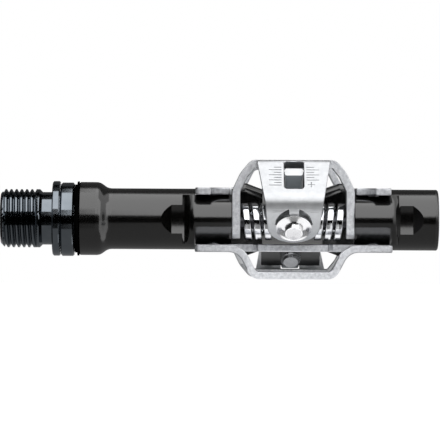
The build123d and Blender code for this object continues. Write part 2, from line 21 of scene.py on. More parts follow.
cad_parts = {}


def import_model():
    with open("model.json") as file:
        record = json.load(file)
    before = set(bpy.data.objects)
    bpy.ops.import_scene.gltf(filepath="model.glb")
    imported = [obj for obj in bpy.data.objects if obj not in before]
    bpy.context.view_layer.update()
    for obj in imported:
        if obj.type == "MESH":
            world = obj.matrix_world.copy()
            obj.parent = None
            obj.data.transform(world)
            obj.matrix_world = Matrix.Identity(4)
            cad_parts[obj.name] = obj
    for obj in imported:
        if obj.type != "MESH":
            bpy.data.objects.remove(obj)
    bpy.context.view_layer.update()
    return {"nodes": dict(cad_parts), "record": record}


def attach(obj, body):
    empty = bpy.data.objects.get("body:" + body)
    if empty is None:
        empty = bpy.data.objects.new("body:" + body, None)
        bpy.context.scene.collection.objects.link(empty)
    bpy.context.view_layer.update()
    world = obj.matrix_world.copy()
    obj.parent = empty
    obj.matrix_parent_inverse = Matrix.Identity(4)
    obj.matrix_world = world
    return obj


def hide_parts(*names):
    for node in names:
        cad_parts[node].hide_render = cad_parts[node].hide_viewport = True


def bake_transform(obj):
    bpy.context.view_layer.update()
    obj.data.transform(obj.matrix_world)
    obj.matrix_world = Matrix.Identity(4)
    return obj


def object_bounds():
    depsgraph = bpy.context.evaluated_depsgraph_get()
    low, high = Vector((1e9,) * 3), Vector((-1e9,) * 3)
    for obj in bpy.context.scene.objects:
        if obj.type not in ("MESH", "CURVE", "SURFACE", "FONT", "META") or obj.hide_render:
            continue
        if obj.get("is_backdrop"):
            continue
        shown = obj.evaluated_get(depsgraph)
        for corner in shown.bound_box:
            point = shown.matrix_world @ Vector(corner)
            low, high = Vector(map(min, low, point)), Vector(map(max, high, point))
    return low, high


LOG = logging.getLogger("pedal")
MM = 0.001

Colour = tuple[float, float, float]
Triple = tuple[float, float, float]


# ---- Finishes ----------------------------------------------------------------------
MIX_COLOURS = (6, 7)  # the Mix node's sockets for two colours
MIX_RESULT = 2  # and for the mixed colour
GRAIN_ROUGHNESS = 0.6  # how strong the finer octaves of a noise are


class ShaderTree:
    """The node tree of one material, with short ways to add the nodes a finish needs."""

    def __init__(self, name: str) -> None:
        """Starts a material with a Principled shader.

        Args:
            name: Name of the material.
        """
        self.material = bpy.data.materials.new(name)
        self.material.use_nodes = True
        self.nodes = self.material.node_tree.nodes
        self.links = self.material.node_tree.links
        self.shader = self.nodes["Principled BSDF"]
        self.coordinates = self.nodes.new("ShaderNodeTexCoord")

    def add(self, kind: str, **inputs: object) -> bpy.types.Node:
        """Adds a node and fills its inputs.

        Args:
            kind: Node type without the ShaderNode prefix.
            **inputs: Values or sockets by input name, with _ for a space.

        Returns:
            The new node.
        """
        node = self.nodes.new("ShaderNode" + kind)
        for key, value in inputs.items():
            socket = node.inputs[key.replace("_", " ")]
            if isinstance(value, bpy.types.NodeSocket):
                self.links.new(value, socket)
            else:
                socket.default_value = value
        return node

    def noise(self, size: float, stretch: Triple = (1, 1, 1), detail: float = 3.0) -> bpy.types.NodeSocket:
        """A noise whose lumps are about the given size.

        Args:
            size: Size of a lump in metres.
            stretch: How many times longer the lumps are along X, Y and Z.
            detail: Octaves of finer noise.

        Returns:
            The noise's value, around a half.
        """
        scale = tuple(1 / (size * part) for part in stretch)
        mapping = self.add("Mapping", Vector=self.coordinates.outputs["Object"], Scale=scale)
        node = self.add("TexNoise", Vector=mapping.outputs[0], Scale=1.0, Detail=detail,
                        Roughness=GRAIN_ROUGHNESS)
        return node.outputs["Fac"]

    def spread(self, value: bpy.types.NodeSocket, low: float, high: float,
               start: float = 0.3, stop: float = 0.7) -> bpy.types.NodeSocket:
        """Spreads a value over another range.

        Args:
            value: The value.
            low: Result at the start.
            high: Result at the stop.
            start: Least value.
            stop: Greatest value.

        Returns:
            The spread value.
        """
        node = self.add("MapRange", Value=value, From_Min=start, From_Max=stop, To_Min=low, To_Max=high)
        return node.outputs[0]

    def blend(self, factor: bpy.types.NodeSocket, first: Colour, second: Colour) -> bpy.types.NodeSocket:
        """Mixes two colours.

        Args:
            factor: Share of the second colour.
            first: The first colour.
            second: The second colour.

        Returns:
            The mixed colour.
        """
        node = self.nodes.new("ShaderNodeMix")
        node.data_type = "RGBA"
        self.links.new(factor, node.inputs["Factor"])
        for index, colour in zip(MIX_COLOURS, (first, second)):
            node.inputs[index].default_value = (*colour, 1)
        return node.outputs[MIX_RESULT]

    def join(self, socket: bpy.types.NodeSocket, name: str) -> None:
        """Joins a socket to the shader's input of the given name."""
        self.links.new(socket, self.shader.inputs[name])

    def bump(self, height: bpy.types.NodeSocket, depth: float) -> bpy.types.NodeSocket:
        """A bumped normal from a height.

        Args:
            height: Height from 0 to 1.
            depth: Depth of the relief in metres.

        Returns:
            The bumped normal.
        """
        node = self.add("Bump", Height=height, Distance=depth)
        return node.outputs[0]


@dataclass(frozen=True)
class Finish:
    """A surface whose colour, roughness and relief vary as on the real piece.

    Attributes:
        name: Name of the finish.
        dark: Colour of its darker patches.
        light: Colour of its lighter patches.
        smooth: Lowest roughness.
        rough: Highest roughness.
        metallic: 1 for a bare metal.
        ior: Index of refraction of a coating or plastic.
        shine: Strength of the highlights of a coating or plastic.
        cloud: Size of the colour patches in metres.
        grain: Size of the relief's lumps in metres.
        relief: Depth of the relief in metres.
        stretch: How many times longer the grain is along X, Y and Z.
    """

    name: str
    dark: Colour
    light: Colour
    smooth: float
    rough: float
    metallic: float = 1.0
    ior: float = 1.5
    shine: float = 0.5
    cloud: float = 3 * MM
    grain: float = 0.25 * MM
    relief: float = 0.002 * MM
    stretch: Triple = (1, 1, 1)

    def tree(self) -> ShaderTree:
        """Builds the finish's node tree.

        Returns:
            The tree, for a finish that adds more to it.
        """
        tree = ShaderTree(self.name)
        cloud = tree.noise(self.cloud, detail=2.0)
        grain = tree.noise(self.grain, self.stretch)
        tree.shader.inputs["Metallic"].default_value = self.metallic
        tree.shader.inputs["IOR"].default_value = self.ior
        tree.shader.inputs["Specular IOR Level"].default_value = self.shine
        tree.join(tree.blend(tree.spread(cloud, 0, 1), self.dark, self.light), "Base Color")
        tree.join(tree.spread(grain, self.smooth, self.rough), "Roughness")
        tree.join(tree.bump(grain, self.relief), "Normal")
        return tree

    def material(self) -> bpy.types.Material:
        """The finish as a material, built once."""
        return bpy.data.materials.get(self.name) or self.tree().material


TURNED = (0.06, 40, 40)  # fine rings round the spindle axis

BLACK_CHROME = Finish("black_chrome", (0.16, 0.18, 0.2), (0.19, 0.21, 0.232), 0.07, 0.15,
                      grain=0.6 * MM, stretch=TURNED, relief=0.0006 * MM)
GROUND_STEEL = Finish("ground_steel", (0.42, 0.42, 0.43), (0.5, 0.5, 0.51), 0.16, 0.3,
                      grain=0.5 * MM, stretch=TURNED, relief=0.001 * MM)
BALL_STEEL = Finish("polished_ball_steel", (0.5, 0.5, 0.51), (0.55, 0.55, 0.56), 0.04, 0.09,
                    relief=0.0002 * MM)
RETAINER_BRASS = Finish("pressed_brass", (0.5, 0.33, 0.1), (0.62, 0.43, 0.16), 0.25, 0.42)
ANODISED_BLACK = Finish("anodised_black", (0.0012, 0.0011, 0.001), (0.0024, 0.0022, 0.002), 0.14, 0.2,
                        metallic=0.0, ior=1.77, cloud=1.6 * MM, grain=0.2 * MM, relief=0.0014 * MM)
SEAL_RUBBER = Finish("moulded_rubber", (0.001, 0.001, 0.001), (0.002, 0.002, 0.002), 0.5, 0.7,
                     metallic=0.0, shine=0.0, grain=0.12 * MM, relief=0.004 * MM)
BUSHING_POLYMER = Finish("filled_polymer", (0.28, 0.2, 0.1), (0.36, 0.26, 0.14), 0.4, 0.6,
                         metallic=0.0, grain=0.3 * MM, relief=0.004 * MM)
CAP_PLASTIC = Finish("moulded_plastic", (0.004, 0.004, 0.0045), (0.007, 0.007, 0.0075), 0.22, 0.32,
                     metallic=0.0, ior=1.77, grain=0.16 * MM, relief=0.003 * MM)
STAMPED_ZINC = Finish("stamped_zinc", (0.55, 0.56, 0.59), (0.72, 0.73, 0.76), 0.26, 0.44,
                      cloud=1.2 * MM, grain=0.45 * MM, relief=0.006 * MM)
SHEARED_ZINC = Finish("sheared_zinc", (0.56, 0.57, 0.595), (0.76, 0.77, 0.79), 0.6, 0.8,
                      cloud=0.8 * MM, grain=0.5 * MM, relief=0.03 * MM)
SATIN_NICKEL = Finish("satin_nickel", (0.53, 0.54, 0.555), (0.6, 0.61, 0.625), 0.4, 0.5,
                      cloud=1.5 * MM, grain=0.2 * MM, relief=0.003 * MM)
SHEARED_NICKEL = Finish("sheared_nickel", (0.68, 0.69, 0.715), (0.88, 0.89, 0.91), 0.6, 0.8,
                        cloud=0.8 * MM, grain=0.5 * MM, relief=0.03 * MM)
SCREW_STEEL = Finish("machined_screw_steel", (0.3, 0.3, 0.32), (0.4, 0.4, 0.42), 0.2, 0.34)
THREAD_STEEL = Finish("thread_steel", (0.2, 0.205, 0.215), (0.28, 0.285, 0.3), 0.2, 0.34)
# nearly black painted shade on the pivot pins, which stands for the shadow between the spring's coils
PIN_PAINTED_SHADE = Finish("pin_painted_shade", (0.05, 0.05, 0.055), (0.09, 0.09, 0.1), 0.25, 0.4)
BRIGHT_CHROME = Finish("bright_chrome", (0.8, 0.8, 0.81), (0.88, 0.88, 0.89), 0.14, 0.22,
                       grain=0.5 * MM, relief=0.0012 * MM)
SPRING_STEEL = Finish("polished_spring_wire", (0.7, 0.71, 0.73), (0.8, 0.81, 0.83), 0.06, 0.14,
                      grain=0.4 * MM, relief=0.001 * MM)
BLACK_OXIDE = Finish("black_oxide", (0.012, 0.013, 0.014), (0.03, 0.031, 0.033), 0.3, 0.5,
                     metallic=0.0, ior=1.6, grain=0.2 * MM, relief=0.004 * MM)
INDICATOR_WHITE = Finish("indicator_white", (0.72, 0.73, 0.74), (0.8, 0.81, 0.82), 0.25, 0.4,
                         metallic=0.0, grain=0.2 * MM, relief=0.002 * MM)
# grey painted shade for the white indicator's ends, which stand in shadow inside the claw's window
INDICATOR_PAINTED_SHADE = Finish("indicator_painted_shade", (0.27, 0.3, 0.32), (0.33, 0.36, 0.39), 0.35, 0.5,
                        metallic=0.0, grain=0.2 * MM, relief=0.004 * MM)

SLOT_FINISHES = {
    "dark_steel": BLACK_CHROME,
    "bearing_steel": GROUND_STEEL,
    "ball_steel": BALL_STEEL,
    "retainer_brass": RETAINER_BRASS,
    "black_body": ANODISED_BLACK,
    "seal_rubber": SEAL_RUBBER,
    "bushing_polymer": BUSHING_POLYMER,
    "cap_plastic": CAP_PLASTIC,
    "cage_steel": STAMPED_ZINC,
    "screw_steel": SCREW_STEEL,
    "claw_steel": SATIN_NICKEL,
    "spring_steel": SPRING_STEEL,
    "bolt_chrome": BRIGHT_CHROME,
    "nut_black": BLACK_OXIDE,
    "indicator_steel": INDICATOR_WHITE,
}


# ---- Mesh tools --------------------------------------------------------------------
MERGE = 0.0005 * MM  # vertices nearer than this are one
FLAT = math.radians(0.3)  # faces that meet at less than this, in radians, are one flat face
ROUND_SEGMENTS = 3  # steps of a rounded edge
ROOM = 2.05  # least distance of two rounded edges, in widths of the rounding
SPREAD = 2  # how often the neighbours of a tight edge are left sharp too
ACROSS = 0.6  # greatest cosine at which an edge lies across a face from another
FACING = 0.93  # least Y of the normal of a face that looks forward or back
SLANTED = 0.3  # least Y of the normal of a round wall that looks partly forward
UPRIGHT = 0.15  # greatest Z of the normal of such a wall


def node_shape(node: str) -> bmesh.types.BMesh:
    """A merged copy of a CAD node's mesh, with its flat faces whole.

    Args:
        node: Name of the node.

    Returns:
        The copy.
    """
    shape = bmesh.new()
    shape.from_mesh(bpy.data.objects[node].data)
    bmesh.ops.remove_doubles(shape, verts=shape.verts, dist=MERGE)
    bmesh.ops.dissolve_limit(shape, angle_limit=FLAT, verts=shape.verts, edges=shape.edges)
    return shape


def cap_ends(shape: bmesh.types.BMesh) -> None:
    """Closes a swept tube and turns its faces outward.

    Args:
        shape: The tube.
    """
    rims = [edge for edge in shape.edges if len(edge.link_faces) == 1]
    bmesh.ops.holes_fill(shape, edges=rims, sides=0)
    bmesh.ops.recalc_face_normals(shape, faces=shape.faces)


def as_piece(name: str, shape: bmesh.types.BMesh) -> bpy.types.Object:
    """Turns a shape into an object of the scene.

    Args:
        name: Name of the piece.
        shape: The shape, which is used up.

    Returns:
        The object.
    """
    mesh = bpy.data.meshes.new(name)
    shape.to_mesh(mesh)
    shape.free()
    piece = bpy.data.objects.new(name, mesh)
    bpy.context.scene.collection.objects.link(piece)
    return piece


def smooth(piece: bpy.types.Object, angle: float = 32.0) -> None:
    """Shades a piece smooth where its faces meet at less than an angle.

    Args:
        piece: The piece.
        angle: The angle in degrees.
    """
    for face in piece.data.polygons:
        face.use_smooth = True
    piece.data.set_sharp_from_angle(angle=math.radians(angle))
    weights = piece.modifiers.new("weights", "WEIGHTED_NORMAL")
    weights.keep_sharp = True


def settle(piece: bpy.types.Object) -> None:
    """Applies a piece's modifiers.

    Args:
        piece: The piece.
    """
    graph = bpy.context.evaluated_depsgraph_get()
    mesh = bpy.data.meshes.new_from_object(piece.evaluated_get(graph))
    piece.modifiers.clear()
    old = piece.data
    piece.data = mesh
    bpy.data.meshes.remove(old)


def facing_edges(face: bmesh.types.BMFace, edge: bmesh.types.BMEdge, sharp: set, reach: float) -> list:
    """Sharp edges of a face that run along one of its edges, just across the face.

    Args:
        face: The face.
        edge: The edge.
        sharp: All sharp edges.
        reach: How near the other edges are.

    Returns:
        The other edges.
    """
    found = []
    start, end = (vert.co for vert in edge.verts)
    middle, along = (start + end) / 2, (end - start).normalized()
    for other in sharp.intersection(face.edges):
        if set(other.verts) & set(edge.verts):
            continue
        first, last = (vert.co for vert in other.verts)
        part = intersect_point_line(middle, first, last)[1]
        gap = first.lerp(last, min(max(part, 0.0), 1.0)) - middle
        if 0 < gap.length < reach and abs(gap.normalized().dot(along)) < ACROSS:
            found.append(other)
    return found


def edges_to_round(shape: bmesh.types.BMesh, width: float, angle: float) -> set:
    """Sharp edges of a shape that have room for a rounding.

    Args:
        shape: The shape.
        width: Width of the rounding.
        angle: Least angle of a sharp edge, in degrees.

    Returns:
        The edges.
    """
    least = math.radians(angle)
    sharp = {edge for edge in shape.edges if edge.is_manifold and edge.calc_face_angle() > least}
    tight = set()
    for face in shape.faces:
        for edge in sharp.intersection(face.edges):
            others = facing_edges(face, edge, sharp, ROOM * width)
            if others:
                tight.update([edge, *others])
    for _ in range(SPREAD):
        ends = {vert for edge in tight for vert in edge.verts}
        tight.update(edge for edge in sharp if ends.intersection(edge.verts))
    return sharp - tight


def rounded(name: str, shape: bmesh.types.BMesh, width: float, angle: float = 60.0) -> bpy.types.Object:
    """Turns a shape into an object whose sharp edges are rounded.

    Args:
        name: Name of the piece.
        shape: The shape, which is used up.
        width: Width of the rounding in metres.
        angle: Least angle of an edge that is rounded, in degrees.

    Returns:
        The object.
    """
    weight = shape.edges.layers.float.new("bevel_weight_edge")
    for edge in edges_to_round(shape, width, angle):
        edge[weight] = 1.0
    piece = as_piece(name, shape)
    bevel = piece.modifiers.new("round", "BEVEL")
    bevel.width = width
    bevel.segments = ROUND_SEGMENTS
    bevel.limit_method = "WEIGHT"
    bevel.use_clamp_overlap = False
    settle(piece)
    return piece


def cut(piece: bpy.types.Object, cutter: bmesh.types.BMesh) -> None:
    """Cuts a shape out of a piece.

    Args:
        piece: The piece.
        cutter: The shape to cut, which is used up.
    """
    tool = as_piece("cutter", cutter)
    difference = piece.modifiers.new("cut", "BOOLEAN")
    difference.operation = "DIFFERENCE"
    difference.solver = "EXACT"
    difference.object = tool
    bpy.context.view_layer.update()
    settle(piece)
    mesh = tool.data
    bpy.data.objects.remove(tool)
    bpy.data.meshes.remove(mesh)


def finish_piece(piece: bpy.types.Object, finish: Finish, nodes: tuple[str, ...] = ()) -> None:
    """Gives a new piece its finish and hides the CAD nodes that it replaces.

    Args:
        piece: The piece.
        finish: Its finish.
        nodes: CAD nodes that it replaces.
    """
    piece.data.materials.clear()
    piece.data.materials.append(finish.material())
    if nodes:
        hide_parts(*nodes)
    LOG.info("%s built in %s with %d faces", piece.name, finish.name, len(piece.data.polygons))


def dress_faces(piece: bpy.types.Object, finish: Finish,
                chosen: Callable[[bpy.types.MeshPolygon], bool]) -> None:
    """Gives some faces of a finished piece a second finish.

    Args:
        piece: The piece.
        finish: The second finish.
        chosen: Says which faces get it.
    """
    piece.data.materials.append(finish.material())
    for face in piece.data.polygons:
        if chosen(face):
            face.material_index = 1


def dress_cut_edges(piece: bpy.types.Object, finish: Finish, reach: float) -> None:
    """Gives the cut edges that face forward and back their own finish.

    Args:
        piece: A piece of sheet metal.
        finish: Finish of its cut edges.
        reach: From the spindle axis to the farthest cut edge, past which the sheet itself faces forward.
    """
    def is_cut(face: bpy.types.MeshPolygon) -> bool:
        """Whether a face is a cut edge that faces forward or back."""
        wall = abs(face.normal.y) > SLANTED and abs(face.normal.z) < UPRIGHT
        return (wall or abs(face.normal.y) > FACING) and abs(face.center.y) < reach

    dress_faces(piece, finish, is_cut)


class Side(Enum):
    """The two sides of the pedal; the lower one is the upper one turned over."""

    UPPER = "upper"
    LOWER = "lower"

    def turn(self) -> Matrix:
        """Turn from the upper side to this one."""
        return Matrix.Rotation(math.pi if self is Side.LOWER else 0.0, 4, "X")

    def node(self, name: str) -> str:
        """Name of this side's node, body or piece."""
        return f"{self.value}_{name}"


# ---- Screw threads -----------------------------------------------------------------
@dataclass
class Thread:
    """A right-hand screw thread along X, cut into a plain rod.

    Attributes:
        pitch: Pitch of the thread.
        root: Radius at the bottom of the groove.
        crest: Radius of the plain rod.
        start: X where the groove starts.
        end: X where the groove starts to run out.
        flat: Width of the groove's bottom.
        steps: Steps of a turn.
        flank: Slope of the groove's sides in degrees.
        spare: How far the cutter reaches past the rod.
        fade: The groove runs out over one of this many parts of a turn.
        lift: How far it climbs as it runs out, in its own depths.
    """

    pitch: float
    root: float
    crest: float
    start: float
    end: float
    flat: float = 0.08 * MM
    steps: int = 48
    flank: float = 30.0
    spare: float = 0.1 * MM
    fade: int = 4
    lift: float = 1.1

    def groove(self, place: Matrix) -> bmesh.types.BMesh:
        """Builds the helical groove as a solid to cut.

        Args:
            place: Where the thread's own frame lies.

        Returns:
            The solid.
        """
        shape = bmesh.new()
        top = self.crest + self.spare
        half = self.flat / 2 + (top - self.root) * math.tan(math.radians(self.flank))
        section = [(-self.flat / 2, self.root), (self.flat / 2, self.root), (half, top), (-half, top)]
        verts = [shape.verts.new((self.start + x, 0, radius)) for x, radius in section]
        ring = [shape.edges.new((verts[index], verts[index - 1])) for index in range(len(verts))]
        turns = (self.end - self.start) / self.pitch
        count = round(turns * self.steps)
        advance = Vector((self.pitch / self.steps, 0, 0))
        last = bmesh.ops.spin(shape, geom=verts + ring, cent=(0, 0, 0), axis=(1, 0, 0), dvec=advance,
                              angle=math.tau * count / self.steps, steps=count)["geom_last"]
        for step in range(1, self.steps // self.fade + 1):
            last = bmesh.ops.spin(shape, geom=last, cent=(0, 0, 0), axis=(1, 0, 0), dvec=advance,
                                  angle=math.tau / self.steps, steps=1)["geom_last"]
            moved = [item for item in last if isinstance(item, bmesh.types.BMVert)]
            angle = math.tau * (count + step) / self.steps
            out = Vector((0, -math.sin(angle), math.cos(angle)))
            climb = out * (top - self.root) * self.fade * self.lift / self.steps
            bmesh.ops.translate(shape, vec=climb, verts=moved)
        cap_ends(shape)
        bmesh.ops.transform(shape, matrix=place, verts=shape.verts)
        return shape


# ---- Spindle -----------------------------------------------------------------------
@dataclass
class Spindle:
    """The crank spindle with its 9/16 inch thread.

    Attributes:
        thread: The crank thread.
        crease: Least angle of an edge that stays sharp, in degrees.
    """

    thread: Thread = field(default_factory=lambda: Thread(
        pitch=1.27 * MM, root=6.42 * MM, crest=7.144 * MM, start=-13.4 * MM, end=-4.1 * MM, steps=56))
    crease: float = 28.0

    def build(self) -> None:
        """Builds the threaded spindle."""
        piece = as_piece("threaded_spindle", node_shape("spindle"))
        cut(piece, self.thread.groove(Matrix()))
        smooth(piece, self.crease)
        finish_piece(piece, BLACK_CHROME, ("spindle",))
        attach(piece, "spindle")


# ---- Claws -------------------------------------------------------------------------
@dataclass
class Tension:
    """The line of a tension bolt, which the claw's upper face follows.

    Attributes:
        middle: X of the bolt.
        y: Y of the bolt's head.
        height: Z of the bolt's head.
        tilt: Rise of the bolt in degrees.
        face: From the bolt's axis to the outside of the claw's upper face.
    """

    middle: float = 58.5 * MM
    y: float = -22.17 * MM
    height: float = -1.75 * MM
    tilt: float = 45.0
    face: float = 8.287 * MM

    def frame(self) -> Matrix:
        """Frame with X across, Y along the bolt and Z square to the claw's upper face."""
        turn = Matrix.Rotation(math.radians(self.tilt), 4, "X")
        return Matrix.Translation((self.middle, self.y, self.height)) @ turn


@dataclass
class Claw:
    """A spring-loaded rear claw with its engraved tension scale.

    Attributes:
        side: Side of the pedal.
        tension: Line of its tension bolt.
        rounding: Rounding of its stamped edges.
        tick_width: Width of an engraved line.
        tick_depth: Depth of an engraved line.
        tick_start: From the middle to the inner ends of the lines.
        long_end: From the middle to the outer ends of the long lines.
        short_end: From the middle to the outer ends of the short lines.
        top_tick: Distance of the first short line along the bolt.
        tick_step: Distance between neighbouring lines.
        plus_centre: Distance of the plus sign from the middle.
        plus_size: Size of the plus sign.
        plus_row: Place of the plus sign, in steps below the first line.
        left_ticks: Lines on the left of the window.
        right_ticks: Lines on the right of the window.
        edge_reach: From the spindle axis to the farthest cut edge.
    """

    side: Side
    tension: Tension
    rounding: float = 0.22 * MM
    tick_width: float = 0.2 * MM
    tick_depth: float = 0.12 * MM
    tick_start: float = 2.97 * MM
    long_end: float = 6.0 * MM
    short_end: float = 4.8 * MM
    top_tick: float = 12.03 * MM
    tick_step: float = 0.866 * MM
    plus_centre: float = 4.1 * MM
    plus_size: float = 1.7 * MM
    plus_row: float = 6.8
    left_ticks: int = 8
    right_ticks: int = 6
    edge_reach: float = 19.0 * MM

    def line(self, shape: bmesh.types.BMesh, start: tuple[float, float], end: tuple[float, float]) -> None:
        """Adds the cutter of one engraved line.

        Args:
            shape: Shape that the cutter joins.
            start: One end, across and along the bolt.
            end: The other end.
        """
        ends = Vector((*end, 0)) - Vector((*start, 0))
        size = Matrix.Diagonal((max(abs(ends.x), self.tick_width), max(abs(ends.y), self.tick_width),
                                2 * self.tick_depth, 1))
        centre = Vector(((start[0] + end[0]) / 2, (start[1] + end[1]) / 2, self.tension.face))
        bmesh.ops.create_cube(shape, size=1.0, matrix=Matrix.Translation(centre) @ size)

    def scale(self, part: str) -> bmesh.types.BMesh:
        """Builds the cutters of the scale; the plus sign's two bars are cut one after the other.

        Args:
            part: "lines" for the scale and the level bar, "upright" for the upright bar.

        Returns:
            The cutters.
        """
        shape = bmesh.new()
        plus_y = self.top_tick - self.plus_row * self.tick_step
        if part == "upright":
            self.line(shape, (self.plus_centre, plus_y - self.plus_size / 2),
                      (self.plus_centre, plus_y + self.plus_size / 2))
        else:
            for index in range(self.left_ticks):
                along = self.top_tick - index * self.tick_step
                outer = self.long_end if index % 2 else self.short_end
                self.line(shape, (-outer, along), (-self.tick_start, along))
                if index < self.right_ticks:
                    self.line(shape, (self.tick_start, along), (outer, along))
            half = self.plus_size / 2
            self.line(shape, (self.plus_centre - half, plus_y), (self.plus_centre + half, plus_y))
        bmesh.ops.transform(shape, matrix=self.side.turn() @ self.tension.frame(), verts=shape.verts)
        return shape

    def build(self) -> None:
        """Builds the claw."""
        node = self.side.node("claw")
        piece = rounded(self.side.node("engraved_claw"), node_shape(node), self.rounding)
        for part in ("lines", "upright"):
            cut(piece, self.scale(part))
        smooth(piece)
        finish_piece(piece, SATIN_NICKEL, (node,))
        dress_cut_edges(piece, SHEARED_NICKEL, self.edge_reach)
        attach(piece, node)


@dataclass
class TensionBolt:
    """A chromed tension bolt with its rolled thread.

    Attributes:
        side: Side of the pedal.
        tension: Its line.
        thread: Its thread, along the bolt.
        crease: Least angle of an edge that stays sharp, in degrees.
    """

    side: Side
    tension: Tension
    thread: Thread = field(default_factory=lambda: Thread(
        pitch=0.8 * MM, root=2.02 * MM, crest=2.5 * MM, start=3.0 * MM, end=18.3 * MM,
        flat=0.06 * MM, steps=28))
    crease: float = 26.0

    def build(self) -> None:
        """Builds the bolt."""
        node = self.side.node("tension_bolt")
        piece = as_piece(self.side.node("threaded_bolt"), node_shape(node))
        along = Matrix.Rotation(math.pi / 2, 4, "Z")
        cut(piece, self.thread.groove(self.side.turn() @ self.tension.frame() @ along))
        smooth(piece, self.crease)
        finish_piece(piece, BRIGHT_CHROME, (node,))
        to_bolt = (self.side.turn() @ self.tension.frame()).inverted()

        def is_thread(face: bpy.types.MeshPolygon) -> bool:
            """Whether a face lies on the threaded rod."""
            place = to_bolt @ face.center
            return place.y > self.thread.start and math.hypot(place.x, place.z) < self.thread.crest + MERGE

        dress_faces(piece, THREAD_STEEL, is_thread)
        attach(piece, node)


@dataclass
class Indicator:
    """A white tension indicator whose ends are painted grey as painted shade.

    Attributes:
        side: Side of the pedal.
        tension: Line of its tension bolt.
        rounding: Rounding of its edges.
        facing: Least share of an end's normal that lies along the bolt.
    """

    side: Side
    tension: Tension
    rounding: float = 0.12 * MM
    facing: float = 0.8

    def build(self) -> None:
        """Builds the indicator."""
        node = self.side.node("tension_indicator")
        piece = rounded(self.side.node("printed_indicator"), node_shape(node), self.rounding)
        smooth(piece)
        finish_piece(piece, INDICATOR_WHITE, (node,))
        along = (self.side.turn() @ self.tension.frame()).to_3x3().col[1]
        # the ends that face along the bolt get grey painted shade instead of their white
        dress_faces(piece, INDICATOR_PAINTED_SHADE, lambda face: abs(face.normal.dot(along)) > self.facing)
        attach(piece, self.side.node("tension_nut"))


@dataclass
class Cage:
    """A stamped cage with rounded edges.

    Attributes:
        side: Side of the pedal.
        rounding: Rounding of its edges.
        edge_reach: From the spindle axis to the farthest cut edge.
    """

    side: Side
    rounding: float = 0.3 * MM
    edge_reach: float = 30.0 * MM

    def build(self) -> None:
        """Builds the cage."""
        node = self.side.node("cage")
        piece = rounded(self.side.node("stamped_cage"), node_shape(node), self.rounding)
        smooth(piece)
        finish_piece(piece, STAMPED_ZINC, (node,))
        dress_cut_edges(piece, SHEARED_ZINC, self.edge_reach)
        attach(piece, "pedal_body")


